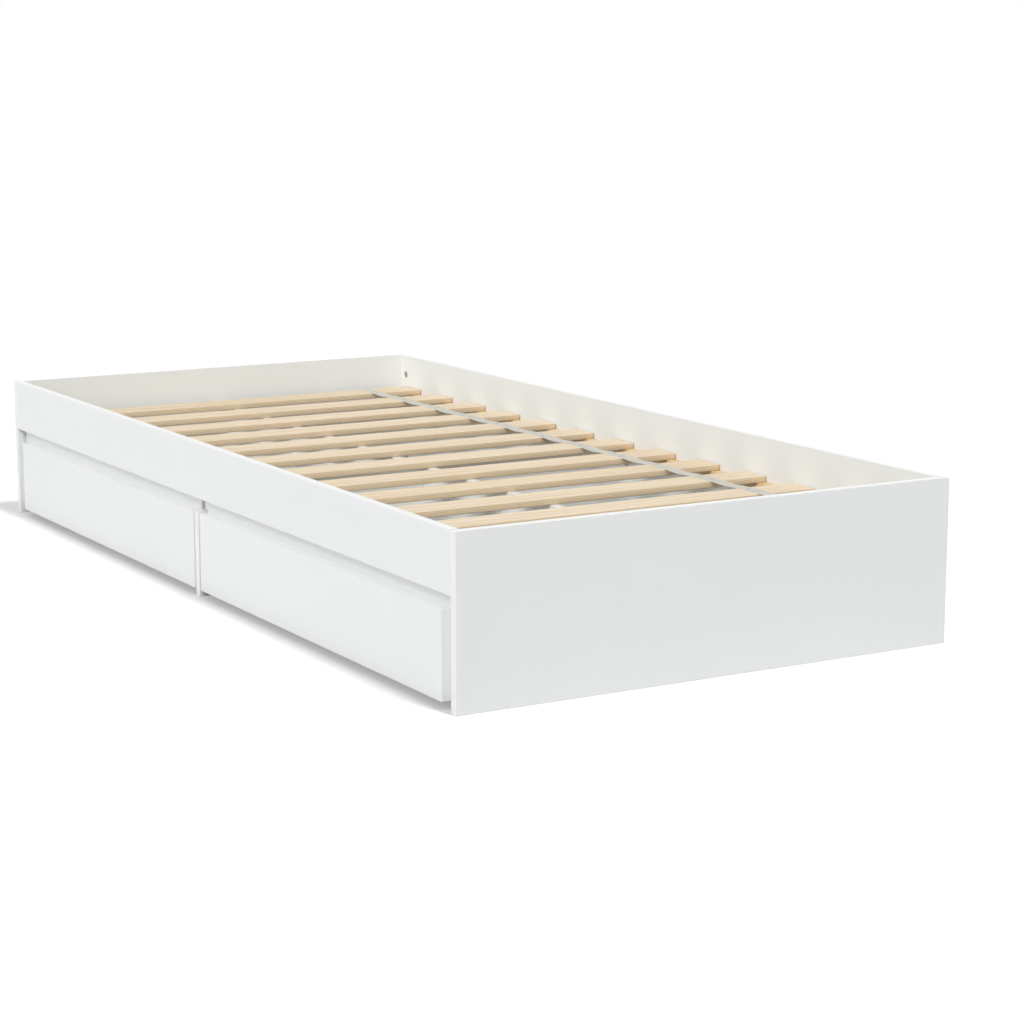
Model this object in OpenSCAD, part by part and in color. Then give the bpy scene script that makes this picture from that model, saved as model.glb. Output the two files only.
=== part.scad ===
// Single bed frame for a 900 x 1900 mattress, with two floor-rolling drawers on one long side.
// Origin: on the floor, at the centre of the footprint. +Y to the head, +Z up, the drawers open to -X.
// All lengths in millimetres.

/* [Mattress] */
// Width of the mattress
mattress_w = 900; // [800:10:1000]
// Length of the mattress
mattress_l = 1900; // [1800:10:2100]
// Play between the mattress and the boards, on each side
mattress_play = 1.5; // [1:0.5:5]

/* [Boards] */
// Thickness of the frame boards
board_t = 16; // [15:0.5:19]
// Height of the head, foot and wall-side panels
bed_h = 282; // [270:1:340]
// Height of the rail above the drawers
rail_h = 101; // [90:1:120]
// Chamfer along the edges of every board
edge_soft = 0.8; // [0.4:0.1:1.2]

/* [Slat base] */
// Width of the ledge battens that carry the slats
ledge_w = 20; // [18:1:26]
// Height of the ledge battens
ledge_h = 20; // [18:1:26]
// Number of slats
slat_count = 13; // [9:1:15]
// Width of a slat
slat_w = 68; // [50:1:80]
// Thickness of a slat
slat_t = 12; // [10:1:18]
// Chamfer along a slat's edges
slat_soft = 1.5; // [0.5:0.1:2.5]
// Play between a slat's end and the board beside it
slat_play = 2; // [1:0.5:4]
// Space between the end panels and the first and last slats
slat_end_gap = 30; // [10:1:60]
// Width of the woven straps
strap_w = 25; // [20:1:35]
// Thickness of the woven straps
strap_t = 1; // [0.6:0.1:1.6]
// Distance from the slats' ends to the middle of a strap
strap_inset = 110; // [60:1:200]

/* [Drawers] */
// Space under the drawers
floor_gap = 12; // [8:1:14]
// Reveal between a drawer face and the end panel
face_gap_end = 28.5; // [5:0.5:40]
// Reveal between a drawer face and the centre divider
face_gap_mid = 6.5; // [3:0.5:20]
// Reveal between a drawer face and the rail above it
face_gap_top = 26; // [5:0.5:34]
// How far the divider's front corner stands above the drawer faces
divider_rise = 3; // [0:0.5:8]
// How far the step in that corner reaches behind the rail
divider_step = 5; // [3:0.5:12]
// Play between a drawer box and the boards beside it
box_play = 5; // [2:0.5:8]
// Play between a box front and the rail above it
front_play = 5; // [2:0.5:8]
// Gap between a closed drawer's back and the centre board that stops it
stop_gap = 0.3; // [0.2:0.1:0.8]
// Thickness of the box sides and back
box_t = 12; // [11:0.5:16]
// Height of the box sides and back
box_h = 138; // [120:1:150]
// Thickness of the bottom panel
bottom_t = 3; // [2.5:0.5:5]
// Height of the bottom panel's underside above the floor
bottom_z = 36; // [35:1:42]
// Depth of the grooves that hold the bottom panel
groove_d = 6; // [4:0.5:7]
// Play of the bottom panel in its grooves
groove_play = 0.2; // [0.1:0.05:0.4]
// Width of the rail under the bottom panel
bottom_rail_w = 40; // [30:1:60]
// Height of the rail under the bottom panel
bottom_rail_h = 16; // [12:1:20]

/* [Wheels] */
// Diameter of a wheel
wheel_d = 30; // [26:1:30]
// Width of a wheel's hub
wheel_w = 12; // [10:1:16]
// Distance from the box ends to a wheel's axle
wheel_inset = 64; // [60:1:90]
// Play on each side of a wheel in its bracket
wheel_side_play = 0.8; // [0.4:0.1:1.2]
// Play between a wheel and the top of its bracket
wheel_top_play = 1.5; // [1:0.1:2]
// Diameter of an axle
axle_d = 4; // [3:0.5:5]
// Running clearance of a wheel on its axle, on the radius
axle_play = 0.05; // [0.02:0.01:0.1]
// Clearance of an axle in its bracket, on the radius
axle_fit = 0.02; // [0.01:0.01:0.05]
// Diameter of an axle's flat head
axle_head_d = 6.4; // [5.5:0.1:8]
// Height of an axle's flat head
axle_head_h = 1.2; // [0.8:0.1:2]
// Wall of a bracket
bracket_t = 2.5; // [2:0.1:3]
// Length of a bracket's flange
bracket_l = 56; // [52:1:64]
// Distance from a box side's lower edge up to a bracket's flange
flange_lift = 4; // [2:0.5:6]
// Width of the ears around an axle
ear_w = 10; // [8:0.5:12]
// Diameter of a wheel's hub
hub_d = 12.6; // [10:0.2:14]
// Thickness of a wheel's web
web_t = 4; // [3:0.5:5]
// Width of a wheel's tread
tread_w = 10.8; // [8:0.2:12]
// Depth of a wheel's rim
rim_h = 3.9; // [2.5:0.1:4.5]
// Chamfer along the tread
tread_soft = 1; // [0.4:0.1:1.4]

/* [Fasteners] */
// Height of the lower cam locks
cam_low_z = 50; // [35:1:60]
// Distance from the rail's lower edge down to the upper cam locks
cam_drop = 31; // [24:1:40]
// Height of the dowels between the cam locks
dowel_z = 100; // [85:1:115]
// Height step that keeps the two centre boards' fasteners apart in the divider
cross_step = 10; // [9:1:13]
// Distance from the middle of the rail to its dowels
rail_dowel_step = 32; // [20:1:36]
// Height of the wall side's upper cam locks above the slats
side_cam_lift = 26; // [20:1:36]
// Diameter of a wood screw
screw_d = 4; // [3.5:0.1:4.5]
// Height of a screw's countersunk head
head_h = 2.5; // [2:0.1:3]
// Width of the recess in a head
recess_w = 0.8; // [0.6:0.1:1.2]
// Depth of the recess in a head
recess_h = 1.2; // [0.8:0.1:1.3]
// Clearance around a screw or dowel in its hole, on the radius
hole_play = 0.1; // [0.05:0.05:0.2]
// How deep a screw bites into the board behind
screw_bite = 12; // [9:0.5:13]
// How deep a screw bites into a board's end
end_bite = 26; // [18:1:30]
// Distance from a box side's lower edge up to its lower screws
box_screw_low = 12; // [8:1:14]
// Distance from a box side's upper edge down to its upper screws
box_screw_high = 30; // [20:1:50]
// Distance from a drawer face's ends to its outer screws
face_screw_in = 90; // [50:5:150]
// Distance from a drawer face's lower edge up to its lower screws
face_screw_low = 48; // [40:1:60]
// Distance from a drawer face's upper edge down to its upper screws
face_screw_high = 25; // [15:1:40]
// Diameter of a bracket screw
bracket_screw_d = 3.5; // [3:0.1:4]
// Diameter of a bracket screw's head
bracket_head_d = 7; // [6:0.5:8]
// Height of a bracket screw's head
bracket_head_h = 1.8; // [1.4:0.1:2.2]
// How deep a bracket screw bites into a box side
bracket_bite = 9; // [7:0.5:10]
// Number of screws along a ledge
ledge_screws_n = 8; // [4:2:12]
// Diameter of a dowel
dowel_d = 8; // [6:1:10]
// Length of a dowel in the face board
dowel_face = 11; // [8:0.5:12]
// Length of a dowel in the edge board
dowel_edge = 19; // [12:0.5:26]
// Diameter of a cam lock
cam_d = 15; // [12:0.5:15]
// Depth of a cam lock
cam_h = 12.5; // [11:0.5:13]
// Distance from a board's end to the middle of a cam lock
cam_reach = 24; // [20:0.5:34]
// Diameter of a cam bolt
cam_bolt_d = 5; // [4:0.5:6]
// Diameter of a cam bolt's head
cam_head_d = 7; // [6.5:0.5:8]
// Clearance around a cam bolt's head
cam_bolt_play = 0.5; // [0.3:0.1:0.8]
// Length of a cam bolt's head
cam_head_l = 4; // [3:0.5:6]
// How deep a cam bolt is screwed into the face board
cam_bite = 11; // [8:0.5:12]

/* [Hidden] */
$fn = 48;
cut = 1;
bed_w = mattress_w + 2 * mattress_play + 2 * board_t;
bed_l = mattress_l + 2 * mattress_play + 2 * board_t;
// Inner faces of the boards, and the levels that the pieces share
in_x = bed_w / 2 - board_t;
in_y = bed_l / 2 - board_t;
half_t = board_t / 2;
rail_z = bed_h - rail_h;
slat_z = rail_z + ledge_h;
cam_high_z = rail_z - cam_drop;
slat_top = slat_z + slat_t;
slat_pitch = (2 * (in_y - slat_end_gap) - slat_w) / (slat_count - 1);
slat_half = in_x - slat_play;
// Screws hold the first, middle and last slats
screwed_slats = [0, floor((slat_count - 1) / 2), slat_count - 1];
// One drawer, on the head side of the divider; the other is its mirror image
face_y0 = half_t + face_gap_mid;
face_y1 = in_y - face_gap_end;
face_h = rail_z - face_gap_top - floor_gap;
front_h = rail_z - front_play - floor_gap;
box_y0 = half_t + box_play;
box_y1 = in_y - box_play;
box_mid = (box_y0 + box_y1) / 2;
box_x0 = -in_x + board_t;
box_x1 = -half_t - stop_gap;
hold_x1 = box_x1 - box_t;
hold_y0 = box_y0 + box_t;
hold_y1 = box_y1 - box_t;
// Fastener places on a drawer
box_screw_zs = [floor_gap + box_screw_low, floor_gap + box_h - box_screw_high];
face_screw_zs = [floor_gap + face_screw_low, floor_gap + face_h - face_screw_high];
face_screw_ys = [face_y0 + face_screw_in, (face_y0 + face_y1) / 2, face_y1 - face_screw_in];
// Wheels
wheel_r = wheel_d / 2;
bracket_w = 2 * (bracket_t + wheel_side_play) + wheel_w;
bracket_z1 = wheel_d + wheel_top_play;
flange_z0 = floor_gap + flange_lift;
wheel_xs = [box_x0 + wheel_inset, hold_x1 - wheel_inset];
// Places of the cam locks and dowels: [point on the joint, way into the edge board, way out of the cam's face]
rail_mid_z = rail_z + rail_h / 2;
rail_cams = [for (s = [-1, 1]) [[-in_x - half_t, s * in_y, rail_mid_z], [0, -s, 0], [1, 0, 0]]];
side_cams = [for (s = [-1, 1], z = [cam_low_z, slat_top + side_cam_lift])
    [[in_x + half_t, s * in_y, z], [0, -s, 0], [-1, 0, 0]]];
centre_end_cams = [for (s = [-1, 1], z = [cam_low_z, cam_high_z]) [[0, s * in_y, z], [0, -s, 0], [1, 0, 0]]];
centre_mid_cams = [for (s = [-1, 1], z = [cam_low_z, cam_high_z])
    [[0, s * half_t, z + cross_step * s], [0, s, 0], [1, 0, 0]]];
divider_cams = [for (z = [cam_low_z, cam_high_z]) [[in_x, 0, z], [-1, 0, 0], [0, 1, 0]]];
cams = concat(rail_cams, side_cams, centre_end_cams, centre_mid_cams, divider_cams);
rail_dowels = [for (s = [-1, 1], z = [-1, 1] * rail_dowel_step)
    [[-in_x - half_t, s * in_y, rail_mid_z + z], [0, -s, 0]]];
side_dowels = [for (s = [-1, 1], z = [dowel_z, cam_high_z]) [[in_x + half_t, s * in_y, z], [0, -s, 0]]];
centre_end_dowels = [for (s = [-1, 1]) [[0, s * in_y, dowel_z], [0, -s, 0]]];
centre_mid_dowels = [for (s = [-1, 1]) [[0, s * half_t, dowel_z + cross_step * s], [0, s, 0]]];
divider_dowels = [[[in_x, 0, dowel_z], [-1, 0, 0]]];
dowels_at = concat(rail_dowels, side_dowels, centre_end_dowels, centre_mid_dowels, divider_dowels);

SLATS = [for (i = [1 : slat_count]) str("slat_", i)];
WHEELS = ["front_inner", "front_outer", "rear_inner", "rear_outer"];
DRAWERS = ["foot", "head"];

// ---- shared shapes ----

// Rectangle with its corners cut at 45 degrees
module soft_rectangle(w, h, e)
    polygon([[e, 0], [w - e, 0], [w, e], [w, h - e], [w - e, h], [e, h], [0, h - e], [0, e]]);

// Board with every edge chamfered, from its lowest corner
module board(corner, size, e = edge_soft)
    translate(corner) intersection() {
        linear_extrude(size.z) soft_rectangle(size.x, size.y, e);
        translate([0, size.y, 0]) rotate([90, 0, 0]) linear_extrude(size.y) soft_rectangle(size.x, size.z, e);
        rotate([90, 0, 90]) linear_extrude(size.x) soft_rectangle(size.y, size.z, e);
    }

// Puts a shape at point p, with its own X along d and its own Z along n
module place(p, d, n) {
    s = cross(n, d);
    multmatrix([[d.x, s.x, n.x, p.x], [d.y, s.y, n.y, p.y], [d.z, s.z, n.z, p.z], [0, 0, 0, 1]]) children();
}

// Puts a screw's head at point p, with its tip pointing against n
module aim(p, n)
    place(p, abs(n.z) > 0.5 ? [1, 0, 0] : [0, 0, 1], n) children();

// Cross-shaped recess for a driver's tip, down from z = 0
module cross_recess(l)
    for (a = [0, 90]) rotate(a) translate([-l / 2, -recess_w / 2, -recess_h]) cube([l, recess_w, recess_h + cut]);

// Countersunk wood screw: its head's top lies at z = 0
module wood_screw(l)
    difference() {
        union() {
            translate([0, 0, -l]) cylinder(d = screw_d, h = l - head_h);
            translate([0, 0, -head_h]) cylinder(d1 = screw_d, d2 = 2 * screw_d, h = head_h);
        }
        cross_recess(screw_d);
    }

// Hole that a countersunk screw sits in, a little deeper than the screw's tip
module wood_screw_hole(l) {
    translate([0, 0, -l - cut]) cylinder(r = screw_d / 2 + hole_play, h = l + 2 * cut);
    translate([0, 0, -head_h]) cylinder(r1 = screw_d / 2 + hole_play, r2 = screw_d + hole_play, h = head_h);
    cylinder(r = screw_d + hole_play, h = cut);
}

// ---- joints between the boards ----

// Cam bolt: screwed into the face board, its head inside the cam lock
module cam_bolt() {
    rotate([0, 90, 0]) translate([0, 0, -cam_bite]) cylinder(d = cam_bolt_d, h = cam_bite + cam_reach - cam_head_l);
    rotate([0, 90, 0]) translate([0, 0, cam_reach - cam_head_l]) cylinder(d = cam_head_d, h = cam_head_l);
}

// Cam lock: a disc flush with the board's inner face, bored from the side for the bolt's head
module cam_lock()
    translate([cam_reach, 0, 0]) difference() {
        translate([0, 0, half_t - cam_h]) cylinder(r = cam_d / 2 - hole_play, h = cam_h);
        rotate([0, -90, 0]) translate([0, 0, -cam_bolt_play])
            cylinder(r = cam_head_d / 2 + cam_bolt_play, h = cam_d);
        translate([0, 0, half_t]) cross_recess(cam_d / 2);
    }

// Holes that a cam lock and its bolt need in the two boards
module cam_holes() {
    translate([cam_reach, 0, half_t - cam_h]) cylinder(d = cam_d, h = cam_h + cut);
    rotate([0, 90, 0]) cylinder(r = cam_head_d / 2 + cam_bolt_play, h = cam_reach);
    rotate([0, 90, 0]) translate([0, 0, -cam_bite - cut / 2])
        cylinder(r = cam_bolt_d / 2 + hole_play, h = cam_bite + cut);
}

module dowel_pin()
    translate([0, 0, -dowel_face]) cylinder(d = dowel_d, h = dowel_face + dowel_edge);

module dowel_hole()
    translate([0, 0, -dowel_face - cut / 2])
        cylinder(r = dowel_d / 2 + hole_play, h = dowel_face + dowel_edge + cut);

// Every hole for the cam locks, cam bolts and dowels
module joint_holes() {
    for (c = cams) place(c[0], c[1], c[2]) cam_holes();
    for (w = dowels_at) aim(w[0], w[1]) dowel_hole();
}

// ---- frame ----

module head_panel() color("whitesmoke") difference() {
    board([-bed_w / 2, in_y, 0], [bed_w, board_t, bed_h]);
    joint_holes();
}

module foot_panel() color("whitesmoke") difference() {
    board([-bed_w / 2, -bed_l / 2, 0], [bed_w, board_t, bed_h]);
    joint_holes();
}

module drawer_rail() color("white") difference() {
    board([-bed_w / 2, -in_y, rail_z], [board_t, 2 * in_y, rail_h]);
    joint_holes();
    at_ledge_screws(-1) wood_screw_hole(ledge_w + screw_bite);
}

module wall_side_panel() color("white") difference() {
    board([in_x, -in_y, 0], [board_t, 2 * in_y, bed_h]);
    joint_holes();
    at_ledge_screws(1) wood_screw_hole(ledge_w + screw_bite);
}

// Cross board between the drawer bays, cut down at both ends to pass under the ledges and the rail.
// The step in its front corner keeps the space over the drawer faces open from end to end
module centre_divider() color("white") difference() {
    board([-bed_w / 2, -half_t, 0], [in_x + bed_w / 2, board_t, slat_z]);
    translate([-bed_w / 2 - cut, -board_t, rail_z]) cube([cut + board_t + ledge_w, 2 * board_t, ledge_h + cut]);
    translate([-bed_w / 2 - cut, -board_t, floor_gap + face_h + divider_rise])
        cube([cut + board_t + divider_step, 2 * board_t, rail_z]);
    translate([in_x - ledge_w, -board_t, rail_z]) cube([ledge_w + cut, 2 * board_t, ledge_h + cut]);
    joint_holes();
}

module centre_board(side) color("white") difference() {
    board([-half_t, side > 0 ? half_t : -in_y, 0], [board_t, in_y - half_t, slat_z]);
    joint_holes();
}

// side is -1 for the drawer side and 1 for the wall side
module slat_ledge(side) color("burlywood") difference() {
    board([side > 0 ? in_x - ledge_w : -in_x, -in_y, rail_z], [ledge_w, 2 * in_y, ledge_h]);
    at_ledge_screws(side) wood_screw_hole(ledge_w + screw_bite);
    at_slat_screws() wood_screw_hole(slat_t + screw_bite);
}

module at_ledge_screws(side)
    for (i = [0 : ledge_screws_n - 1])
        aim([side * (in_x - ledge_w), (2 * i + 1 - ledge_screws_n) * in_y / ledge_screws_n, rail_z + ledge_h / 2],
            [-side, 0, 0]) children();

function slat_y(i) = -in_y + slat_end_gap + slat_w / 2 + i * slat_pitch;

module at_slat_screws()
    for (i = screwed_slats, side = [-1, 1])
        aim([side * (in_x - ledge_w / 2), slat_y(i), slat_top], [0, 0, 1]) children();

module slat(i) color("wheat") difference() {
    board([-slat_half, slat_y(i) - slat_w / 2, slat_z], [2 * slat_half, slat_w, slat_t], slat_soft);
    at_slat_screws() wood_screw_hole(slat_t + screw_bite);
}

module slat_straps() color("ivory")
    for (side = [-1, 1])
        translate([side * (slat_half - strap_inset) - strap_w / 2, slat_y(0) - slat_w / 2, slat_top])
            cube([strap_w, (slat_count - 1) * slat_pitch + slat_w, strap_t]);

module slat_screws() color("silver") at_slat_screws() wood_screw(slat_t + screw_bite);

module ledge_screws() color("silver")
    for (side = [-1, 1]) at_ledge_screws(side) wood_screw(ledge_w + screw_bite);

module cam_locks() color("silver") for (c = cams) place(c[0], c[1], c[2]) cam_lock();

module cam_bolts() color("gray") for (c = cams) place(c[0], c[1], c[2]) cam_bolt();

module dowels() color("burlywood") for (w = dowels_at) aim(w[0], w[1]) dowel_pin();

// ---- drawers ----

// The foot drawer is the head drawer mirrored across the divider
module for_drawer(d)
    mirror([0, d == "foot" ? 1 : 0, 0]) children();

module drawer_face() color("white") difference() {
    board([-bed_w / 2, face_y0, floor_gap], [board_t, face_y1 - face_y0, face_h]);
    at_face_screws() wood_screw_hole(board_t + screw_bite);
}

module drawer_front() color("white") difference() {
    board([-in_x, box_y0, floor_gap], [board_t, box_y1 - box_y0, front_h]);
    bottom_groove();
    at_face_screws() wood_screw_hole(board_t + screw_bite);
    at_box_screws();
}

// y is the side's lower face along Y
module drawer_side(y) color("white") difference() {
    board([box_x0, y, floor_gap], [box_x1 - box_x0, box_t, box_h]);
    bottom_groove();
    at_box_screws();
    at_brackets() at_bracket_screws() bracket_screw_hole();
}

module drawer_back() color("white") difference() {
    board([hold_x1, hold_y0, floor_gap], [box_t, hold_y1 - hold_y0, box_h]);
    bottom_groove();
    at_box_screws();
}

// The thin panel, and with extra room the grooves that hold it
module bottom_sheet(reach, room)
    translate([box_x0 - reach, hold_y0 - reach, bottom_z])
        cube([hold_x1 - box_x0 + 2 * reach, hold_y1 - hold_y0 + 2 * reach, bottom_t + room]);

module drawer_bottom() color("gainsboro") bottom_sheet(groove_d - groove_play, 0);

module bottom_groove() bottom_sheet(groove_d, groove_play);

module drawer_bottom_rail() color("burlywood") difference() {
    board([box_x0, box_mid - bottom_rail_w / 2, bottom_z - bottom_rail_h],
        [hold_x1 - box_x0, bottom_rail_w, bottom_rail_h]);
    at_box_screws();
}

module at_face_screws()
    for (y = face_screw_ys, z = face_screw_zs) aim([box_x0, y, z], [1, 0, 0]) children();

// Screws through the box front and the box sides, with the bottom rail's two
module at_box_screws(holes = true) {
    for (y = [box_y0 + box_t / 2, box_y1 - box_t / 2], z = box_screw_zs)
        aim([-in_x, y, z], [-1, 0, 0]) box_screw(board_t, holes);
    for (s = [-1, 1], z = box_screw_zs)
        aim([box_x1 - box_t / 2, s < 0 ? box_y0 : box_y1, z], [0, s, 0]) box_screw(box_t, holes);
    aim([-in_x, box_mid, bottom_z - bottom_rail_h / 2], [-1, 0, 0]) box_screw(board_t, holes);
    aim([box_x1, box_mid, bottom_z - bottom_rail_h / 2], [1, 0, 0]) box_screw(box_t, holes);
}

module box_screw(through, hole)
    if (hole) wood_screw_hole(through + end_bite);
    else wood_screw(through + end_bite);

module face_screws() color("silver") at_face_screws() wood_screw(board_t + screw_bite);

module box_screws() color("silver") at_box_screws(false);

// Puts a bracket's shapes at its four places: own Y points away from the box side, the axle lies at y = 0
module at_brackets(only = -1)
    for (k = only < 0 ? [0 : 3] : [only])
        translate([wheel_xs[floor(k / 2)], k % 2 == 0 ? hold_y0 : hold_y1, 0])
            mirror([0, k % 2, 0]) children();

module along_y(y, h, r) translate([0, y, wheel_r]) rotate([-90, 0, 0]) cylinder(r = r, h = h);

// Fork of moulded plastic: a flange on the box side, a top and an outer cheek
module wheel_bracket() difference() {
    union() {
        translate([-bracket_l / 2, 0, flange_z0]) cube([bracket_l, bracket_t, bracket_z1 + bracket_t - flange_z0]);
        translate([-ear_w / 2, 0, bracket_z1]) cube([ear_w, bracket_w, bracket_t]);
        for (y = [0, bracket_w - bracket_t]) {
            translate([-ear_w / 2, y, wheel_r]) cube([ear_w, bracket_t, bracket_z1 - wheel_r + bracket_t / 2]);
            along_y(y, bracket_t, ear_w / 2);
        }
    }
    along_y(-cut, bracket_w + 2 * cut, axle_d / 2 + axle_fit);
    at_bracket_screws() bracket_screw_hole();
}

module at_bracket_screws()
    for (s = [-1, 1])
        translate([s * (bracket_l / 2 - bracket_head_d / 2 - 1), bracket_t, (flange_z0 + bracket_z1) / 2])
            rotate([-90, 0, 0]) children();

module bracket_screw_hole()
    translate([0, 0, -bracket_t - bracket_bite - cut])
        cylinder(r = bracket_screw_d / 2 + hole_play, h = bracket_t + bracket_bite + 2 * cut);

module bracket_screw() difference() {
    union() {
        translate([0, 0, -bracket_t - bracket_bite]) cylinder(d = bracket_screw_d, h = bracket_t + bracket_bite);
        cylinder(d = bracket_head_d, h = bracket_head_h);
    }
    translate([0, 0, bracket_head_h]) cross_recess(bracket_head_d / 2);
}

module wheel_brackets() color("dimgray") at_brackets() wheel_bracket();

module bracket_screws() color("silver") at_brackets() at_bracket_screws() bracket_screw();

// Pin with a flat head on the outer cheek
module axles() color("silver") at_brackets() {
    along_y(0, bracket_w, axle_d / 2);
    along_y(bracket_w, axle_head_h, axle_head_d / 2);
}

// Half of a wheel's section, from the bore out to the tread; s is -1 or 1 for its two sides
function wheel_side(s) = [
    [axle_d / 2 + axle_play, s * wheel_w / 2], [hub_d / 2, s * wheel_w / 2], [hub_d / 2, s * web_t / 2],
    [wheel_r - rim_h, s * web_t / 2], [wheel_r - rim_h, s * tread_w / 2], [wheel_r - tread_soft, s * tread_w / 2],
    [wheel_r, s * (tread_w / 2 - tread_soft)]];

// Small wheel with a hub, a web and a tread
module wheel() color("dimgray")
    translate([0, bracket_w / 2, wheel_r]) rotate([90, 0, 0]) rotate_extrude($fn = 72)
        polygon(concat(wheel_side(-1), [for (i = [6 : -1 : 0]) wheel_side(1)[i]]));

head_panel();
foot_panel();
drawer_rail();
wall_side_panel();
centre_divider();
centre_board(-1);  // centre_board_foot
centre_board(1);  // centre_board_head
slat_ledge(-1);  // slat_ledge_left
slat_ledge(1);  // slat_ledge_right
for (i = [0 : slat_count - 1]) slat(i);
slat_straps();
slat_screws();
ledge_screws();
cam_locks();
cam_bolts();
dowels();
for (d = DRAWERS) {
    for_drawer(d) drawer_face();
    for_drawer(d) drawer_front();
    for_drawer(d) drawer_side(box_y0);
    for_drawer(d) drawer_side(hold_y1);
    for_drawer(d) drawer_back();
    for_drawer(d) drawer_bottom();
    for_drawer(d) drawer_bottom_rail();
    for_drawer(d) face_screws();
    for_drawer(d) box_screws();
    for_drawer(d) wheel_brackets();
    for_drawer(d) bracket_screws();
    for_drawer(d) axles();
    for (k = [0 : 3]) for_drawer(d) at_brackets(k) wheel();
}
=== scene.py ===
# Low single bed frame with two drawers on wheels: finishes, fittings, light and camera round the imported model
from math import atan2, pi, radians

import bpy
from mathutils import Matrix, Vector


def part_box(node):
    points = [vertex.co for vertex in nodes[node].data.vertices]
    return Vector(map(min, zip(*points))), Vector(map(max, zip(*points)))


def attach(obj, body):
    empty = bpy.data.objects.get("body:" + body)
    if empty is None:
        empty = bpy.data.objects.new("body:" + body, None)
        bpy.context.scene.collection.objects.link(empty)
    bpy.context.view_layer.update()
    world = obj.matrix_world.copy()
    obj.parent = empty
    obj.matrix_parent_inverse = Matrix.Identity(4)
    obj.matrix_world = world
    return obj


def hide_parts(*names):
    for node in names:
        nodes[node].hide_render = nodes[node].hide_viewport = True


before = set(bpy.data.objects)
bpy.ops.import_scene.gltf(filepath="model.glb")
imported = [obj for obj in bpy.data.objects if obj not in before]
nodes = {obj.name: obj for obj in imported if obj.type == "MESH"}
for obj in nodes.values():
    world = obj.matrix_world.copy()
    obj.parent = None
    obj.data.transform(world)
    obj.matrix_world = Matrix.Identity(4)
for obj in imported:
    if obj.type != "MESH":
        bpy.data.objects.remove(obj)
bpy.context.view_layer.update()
scene = bpy.context.scene
scene.view_settings.view_transform = "Standard"
mm = 0.001
tiny = 0.01 * mm  # points closer than this are one
small = 0.1 * mm  # how far a face or edge may be from the place it is looked for
drawers = ["foot", "head"]
wheelPlaces = ["front_inner", "front_outer", "rear_inner", "rear_outer"]
slats = [name for name in nodes if name.startswith("slat_") and name[5:].isdigit()]
slats.sort(key=lambda name: int(name[5:]))


def pickOnly(*objs):
    bpy.ops.object.select_all(action="DESELECT")
    for obj in objs:
        obj.select_set(True)
    bpy.context.view_layer.objects.active = objs[0]


def editOn(obj, mode="FACE"):
    pickOnly(obj)
    bpy.ops.object.mode_set(mode="EDIT")
    bpy.ops.mesh.select_mode(type=mode)


def editOff():
    bpy.ops.object.mode_set(mode="OBJECT")


def editAll(obj):  # leaves edit mode on with everything selected
    editOn(obj, "VERT")
    bpy.ops.mesh.select_all(action="SELECT")


def unpick(obj, mode):  # ends in object mode with nothing on the mesh selected
    editOn(obj, mode)
    bpy.ops.mesh.select_all(action="DESELECT")
    editOff()


def editFaces(obj, test):  # leaves edit mode on with the faces that pass the test selected
    unpick(obj, "FACE")
    for face in obj.data.polygons:
        face.select = test(face.center, face.normal)
    bpy.ops.object.mode_set(mode="EDIT")


def editEdges(obj, test):  # the test gets an edge's two ends
    unpick(obj, "EDGE")
    points = obj.data.vertices
    for edge in obj.data.edges:
        edge.select = test(*(points[i].co for i in edge.vertices))
    bpy.ops.object.mode_set(mode="EDIT")


def isLevel(a, b):  # for an edge on a rod's rim
    return abs(a.z - b.z) < tiny


def bevelEdges(obj, test, amount, segments):
    editEdges(obj, test)
    bpy.ops.mesh.bevel(offset=amount, segments=segments)
    editOff()


def pushOut(x=0, y=0, z=0):
    bpy.ops.mesh.extrude_region_move(TRANSFORM_OT_translate={"value": (x, y, z)})


def shrink(amount, height):
    bpy.ops.transform.resize(value=(amount, amount, 1), center_override=(0, 0, height))


def addBlock(low, high):  # a cube between two corners, its place in its mesh
    low, high = Vector(low), Vector(high)
    bpy.ops.mesh.primitive_cube_add(size=1, location=(low + high) / 2)
    block = bpy.context.object
    block.scale = high - low
    bpy.ops.object.transform_apply(location=True, rotation=False, scale=True)
    return block


def addRod(radius, low, high, sides=32):  # a cylinder along Z between two heights
    bpy.ops.mesh.primitive_cylinder_add(vertices=sides, radius=radius, depth=high - low,
                                        location=(0, 0, (low + high) / 2))
    bpy.ops.object.transform_apply(location=True, rotation=False, scale=False)
    return bpy.context.object


def addModifier(obj, kind, **settings):
    modifier = obj.modifiers.new(kind.lower(), kind)
    for name, value in settings.items():
        setattr(modifier, name, value)
    return modifier


def applyModifier(obj, kind, **settings):
    pickOnly(obj)
    modifier = addModifier(obj, kind, **settings)
    bpy.ops.object.modifier_apply(modifier=modifier.name)


def cutWith(obj, cutter):
    applyModifier(obj, "BOOLEAN", object=cutter, operation="DIFFERENCE", solver="EXACT")
    bpy.data.objects.remove(cutter)


def joinAll(objs):
    pickOnly(*objs)
    if len(objs) > 1:
        bpy.ops.object.join()
    return bpy.context.object


def smoothBy(obj, degrees):
    pickOnly(obj)
    bpy.ops.object.shade_smooth_by_angle(angle=radians(degrees))


def boxOf(points):
    low = Vector([min(p[i] for p in points) for i in range(3)])
    high = Vector([max(p[i] for p in points) for i in range(3)])
    return low, high


def solidsOf(name):  # the separate solids of a CAD node, as lists of points
    copy = bpy.data.objects.new("solids", nodes[name].data.copy())
    scene.collection.objects.link(copy)
    editAll(copy)
    bpy.ops.mesh.remove_doubles(threshold=tiny)
    bpy.ops.mesh.separate(type="LOOSE")
    editOff()
    parts = list(bpy.context.selected_objects)
    found = [[point.co.copy() for point in part.data.vertices] for part in parts]
    for part in parts:
        bpy.data.objects.remove(part)
    return found


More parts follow.
